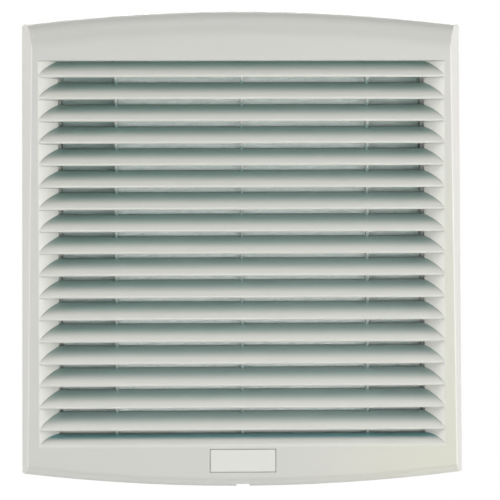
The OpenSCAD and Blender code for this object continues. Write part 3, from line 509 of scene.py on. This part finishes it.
zinc = metal("zinc_plate", (0.66, 0.68, 0.70), 0.32, pitch=1500.0, bump=0.05)
plated_wire = metal("bright_wire", (0.74, 0.75, 0.76), 0.2, pitch=1200.0, waver=6.0, bump=0.03, fleck=0.06)
drawn_steel = metal("drawn_steel", (0.42, 0.43, 0.44), 0.38, pitch=700.0, bump=0.08)
stacked_sheet = metal("stacked_sheet", (0.33, 0.33, 0.34), 0.45, pitch=320.0, waver=0.2, bump=0.6)
copper_turns = metal("copper_turns", (0.52, 0.20, 0.09), 0.3, pitch=280.0, waver=0.4, bump=0.9, fleck=0.2)
brass = metal("plain_brass", (0.66, 0.48, 0.18), 0.3, pitch=1500.0, bump=0.05)
print("metals:", [m.name for m in (zinc, plated_wire, drawn_steel, stacked_sheet, copper_turns, brass)])

# %% [markdown]
# ## Finishes on the solids
# A solid keeps its mesh; only its material slots are filled again. One table says which finish each piece has,
# so a learner can repaint the fan by changing one line.

# %% Paint the solids
finish_of = {
    "front_cover": cover_grey, "badge_plate": badge_grey, "base_frame": frame_grey, "filter_grid": frame_grey,
    "panel_clamp_right": clamp_dark, "panel_clamp_top": clamp_dark, "panel_clamp_left": clamp_dark,
    "panel_clamp_bottom": clamp_dark, "fan_frame": casting_black, "impeller": blade_black,
    "terminal_block": block_white, "terminal_clamps": brass, "terminal_screws": zinc, "block_screws": zinc,
    "fan_screws": zinc, "fan_washers": zinc, "hinge_pins": zinc, "finger_guard": plated_wire,
    "bearing_outer_rings": zinc, "bearing_inner_rings": zinc, "rotor_shaft": zinc, "shaft_clip": drawn_steel,
    "rotor_cup": drawn_steel, "rotor_ring": stacked_sheet, "stator_core": stacked_sheet,
    "stator_coils": copper_turns,
}
for name, finish in finish_of.items():
    solid = nodes[name]
    if not solid.material_slots:
        solid.data.materials.append(finish)
    for place in solid.material_slots:
        place.material = finish
print("painted", len(finish_of), "solids")

# %% [markdown]
# ## Filter mat
# The mat is bonded polyester fibre: a springy white pad with soft edges and a lumpy, hairy face, cut by hand a
# little larger than its place and pressed in. It starts as a fine grid that is extruded backwards in steps, so
# that there are points all over it for the later steps to move. It is set in a little at front and back to leave
# room for the lumps. Cloth simulation would only swell it into a cushion, which a filter mat is not, so it
# isn't used here.

# %% Model the mat
mat_low, mat_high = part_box("filter_mat")
middle = (mat_low + mat_high) / 2
span = mat_high - mat_low
skin_in = 0.0006
press = 0.0014
upright = (math.radians(90), 0, 0)
front = mat_low.y + skin_in
bpy.ops.object.select_all(action="DESELECT")
bpy.ops.mesh.primitive_grid_add(x_subdivisions=150, y_subdivisions=150, size=span.x + press,
                                location=(middle.x, front, middle.z), rotation=upright)
mat = bpy.context.object
mat.name = "filter_mat_fibre"
bpy.ops.object.transform_apply(location=True, rotation=True, scale=True)
bpy.ops.object.mode_set(mode="EDIT")
bpy.ops.mesh.select_all(action="SELECT")
for share in (0.08, 0.14, 0.28, 0.28, 0.14, 0.08):
    back = share * (span.y - 2 * skin_in)
    bpy.ops.mesh.extrude_region_move(TRANSFORM_OT_translate={"value": (0, back, 0)})
bpy.ops.mesh.select_all(action="SELECT")
bpy.ops.mesh.normals_make_consistent(inside=False)
bpy.ops.object.mode_set(mode="OBJECT")
print("slab:", len(mat.data.polygons), "faces")

# %% [markdown]
# The two side margins are pinched back where the cover's outer ribs press on the mat, and the rim is soft. Both
# are done on selected vertices: the margins are moved back, the front row further than the row behind it, and
# the rim is smoothed a few times.

# %% Pinch the margins and soften the rim
def select_points(piece, wanted):
    bpy.ops.object.mode_set(mode="EDIT")
    bpy.ops.mesh.select_mode(type="VERT")
    bpy.ops.mesh.select_all(action="DESELECT")
    bpy.ops.object.mode_set(mode="OBJECT")
    for point in piece.data.vertices:
        point.select = wanted(point.co)
    bpy.ops.object.mode_set(mode="EDIT")


margin = 0.0715
face_end = front + 0.0001
second_end = front + 0.0036
face_back = 0.0085
second_back = 0.0075
rim_width = 0.0012
select_points(mat, lambda co: abs(co.x) > margin and co.y < face_end)
bpy.ops.transform.translate(value=(0, face_back, 0))
select_points(mat, lambda co: abs(co.x) > margin and face_end < co.y < second_end)
bpy.ops.transform.translate(value=(0, second_back, 0))
select_points(mat, lambda co: max(abs(co.x), abs(co.z)) > span.x / 2 - rim_width)
bpy.ops.mesh.vertices_smooth(factor=0.5, repeat=2)
bpy.ops.object.mode_set(mode="OBJECT")
print("margins pinched beyond", 1000 * margin, "mm at each side")

# %% [markdown]
# Two Displace modifiers then push the surface about, a broad one for the lumps and a fine one for the tufts.
# Sculpting would do as well, but the modifiers give the same lumps on every run.

# %% Lumps and tufts
def only(piece):
    bpy.ops.object.select_all(action="DESELECT")
    piece.select_set(True)
    bpy.context.view_layer.objects.active = piece


def apply_all(piece):
    only(piece)
    for step in list(piece.modifiers):
        bpy.ops.object.modifier_apply(modifier=step.name)


for name, size, push in (("mat_lumps", 0.02, 0.0012), ("mat_tufts", 0.0022, 0.0007)):
    clouds = bpy.data.textures.new(name, "CLOUDS")
    clouds.noise_scale = size
    step = mat.modifiers.new(name, "DISPLACE")
    step.texture = clouds
    step.texture_coords = "LOCAL"
    step.strength = push
    step.mid_level = 0.5
apply_all(mat)
bpy.ops.object.shade_smooth()
print("mat:", len(mat.data.polygons), "faces,", [round(1000 * d, 1) for d in mat.dimensions], "mm")

# %% [markdown]
# The fibres themselves are finer than any mesh here should be. Three noise textures, stretched in crossing
# directions, are sharpened into thin pale strands over a greyer, clumpy ground. A particle system could grow
# real hairs, but a bonded mat is a flat tangle and the strands are hardly wider than a pixel.

# %% Strands and clumps
ground_grey = (0.69, 0.795, 0.77, 1)
ground_pale = (0.89, 0.96, 0.945, 1)
strand_white = (0.94, 0.97, 0.96, 1)
ridge_height = 0.5
lays = (((0, 0.5, 0), (260, 260, 1100)), ((0, -0.7, 0), (1000, 260, 240)), ((0, 1.3, 0), (300, 300, 1300)))
fibre = bpy.data.materials.new("bonded_fibre")
tree = blank_tree(fibre)
where = add(tree, "ShaderNodeTexCoord").outputs["Object"]
strands = []
for turn, stretch in lays:
    lie = add(tree, "ShaderNodeMapping", Vector=where, Rotation=turn, Scale=stretch)
    hair = add(tree, "ShaderNodeTexNoise", Vector=lie.outputs["Vector"], Scale=1.0, Detail=2.0,
               Roughness=0.55, Distortion=1.2)
    ridge = calc(tree, "PINGPONG", hair.outputs["Fac"], ridge_height)
    strands.append(ramp(tree, ridge, 0.40, ridge_height))
tangle = larger(tree, *strands)
clumps = add(tree, "ShaderNodeTexNoise", Vector=where, Scale=170.0, Detail=5.0, Roughness=0.62).outputs["Fac"]
ground = blend(tree, ramp(tree, clumps, 0.38, 0.62), ground_grey, ground_pale)
fluff = blend(tree, tangle, ground, strand_white)
print("strands in", len(strands), "directions")

# %% [markdown]
# The colour is a darker grey-green on the pressed margins than in the middle, most of all at the top, and a
# little darker towards the top all over. It sets in at once on the left margin, and in a step and a slow rise on
# the right. The strands drive the bump as well, so the mat stays hairy when the cover is opened.

# %% Darker margins and top on the mat
# A darker grey-green for the margins and the top of the mat.
mat_darker_green = (0.335, 0.455, 0.435, 1)
edge_half = 0.0006
across, _, height = add(tree, "ShaderNodeSeparateXYZ", Vector=where).outputs
leftward = calc(tree, "MULTIPLY", across, -1.0)
left_margin = ramp(tree, leftward, margin - edge_half, margin + edge_half)
right_step = ramp(tree, across, margin - edge_half, margin + edge_half, 0.45)
right_end = ramp(tree, across, margin + 0.004, margin + 0.030)
pressed = larger(tree, left_margin, right_step, right_end)
margin_darkening = times(tree, pressed, ramp(tree, height, -0.13, 0.10, 0.8))
top_darkening = ramp(tree, height, -0.06, 0.10, 0.10)
darkened_fibre = blend(tree, larger(tree, margin_darkening, top_darkening), fluff, mat_darker_green)
surface(tree, tangle, 0.65, relief=0.0006, Base_Color=darkened_fibre, Roughness=0.85,
        Sheen_Weight=0.35, Sheen_Roughness=0.5)
mat.data.materials.append(fibre)
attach(mat, "frame")
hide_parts("filter_mat")
print("mat carries", fibre.name)

# %% [markdown]
# ## Gasket
# Closed-cell foam tape lies between the flange and the sheet. It is soft, so its edges are round and its faces
# a little uneven. A square plate is inset, the middle is deleted and the ring is extruded to its thickness. It
# is trimmed by a hair, so that it stays inside the solid it stands for.

# %% Model the gasket
seal_low, seal_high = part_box("panel_gasket")
middle = (seal_low + seal_high) / 2
side = seal_high.x - seal_low.x
thick = seal_high.y - seal_low.y
inner_half = 0.112
trim = 0.0001
bpy.ops.object.select_all(action="DESELECT")
bpy.ops.mesh.primitive_plane_add(size=side - 2 * trim, location=(0, seal_low.y + trim / 2, 0), rotation=upright)
gasket = bpy.context.object
gasket.name = "panel_gasket_foam"
bpy.ops.object.transform_apply(location=True, rotation=True, scale=True)
bpy.ops.object.mode_set(mode="EDIT")
bpy.ops.mesh.select_all(action="SELECT")
bpy.ops.mesh.inset(thickness=side / 2 - inner_half - trim)
bpy.ops.mesh.delete(type="FACE")
bpy.ops.mesh.select_all(action="SELECT")
bpy.ops.mesh.extrude_region_move(TRANSFORM_OT_translate={"value": (0, thick - trim, 0)})
bpy.ops.mesh.select_all(action="SELECT")
bpy.ops.mesh.normals_make_consistent(inside=False)
bpy.ops.object.mode_set(mode="OBJECT")
print("ring:", len(gasket.data.polygons), "faces")

# %% [markdown]
# Four round cutters open the holes for the fixing screws, and a Bevel modifier rounds all edges, the holes'
# too. The holes come first, because a bevel can't follow an edge that isn't there yet.

# %% Holes and soft edges
hole_at = 0.1152
hole_radius = 0.00225
crease = math.radians(40)
for sx, sz in ((-1, -1), (1, -1), (1, 1), (-1, 1)):
    bpy.ops.object.select_all(action="DESELECT")
    bpy.ops.mesh.primitive_cylinder_add(radius=hole_radius, depth=0.02, vertices=32, rotation=upright,
                                        location=(sx * hole_at, middle.y, sz * hole_at))
    cutter = bpy.context.object
    bore = gasket.modifiers.new("hole", "BOOLEAN")
    bore.operation = "DIFFERENCE"
    bore.object = cutter
    apply_all(gasket)
    bpy.data.objects.remove(cutter)
soft = gasket.modifiers.new("soft_edges", "BEVEL")
soft.width = 0.0004
soft.segments = 3
soft.angle_limit = crease
apply_all(gasket)
bpy.ops.object.shade_smooth_by_angle(angle=crease)
print("gasket:", len(gasket.data.polygons), "faces,", [round(1000 * d, 2) for d in gasket.dimensions], "mm")

# %% [markdown]
# Cut foam shows its cells as tiny pits. A Voronoi texture at under a millimetre gives them to the bump, and
# painted shade makes the pits darker than the walls between them.

# %% Foam finish
# Painted shade: the colour in the pits, darker than the walls between them.
pit_painted_shade = (0.008, 0.008, 0.009, 1)
wall_grey = (0.028, 0.028, 0.030, 1)
foam = bpy.data.materials.new("closed_cell_foam")
tree = blank_tree(foam)
where = add(tree, "ShaderNodeTexCoord").outputs["Object"]
cells = add(tree, "ShaderNodeTexVoronoi", feature="DISTANCE_TO_EDGE", Vector=where, Scale=1500.0)
walls = add(tree, "ShaderNodeMapRange", Value=cells.outputs["Distance"], From_Max=0.25,
            To_Min=1.0, To_Max=0.0).outputs["Result"]
surface(tree, walls, 0.6, relief=0.0004, Base_Color=blend(tree, walls, pit_painted_shade, wall_grey), Roughness=0.9)
gasket.data.materials.append(foam)
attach(gasket, "frame")
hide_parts("panel_gasket")
print("gasket carries", foam.name)
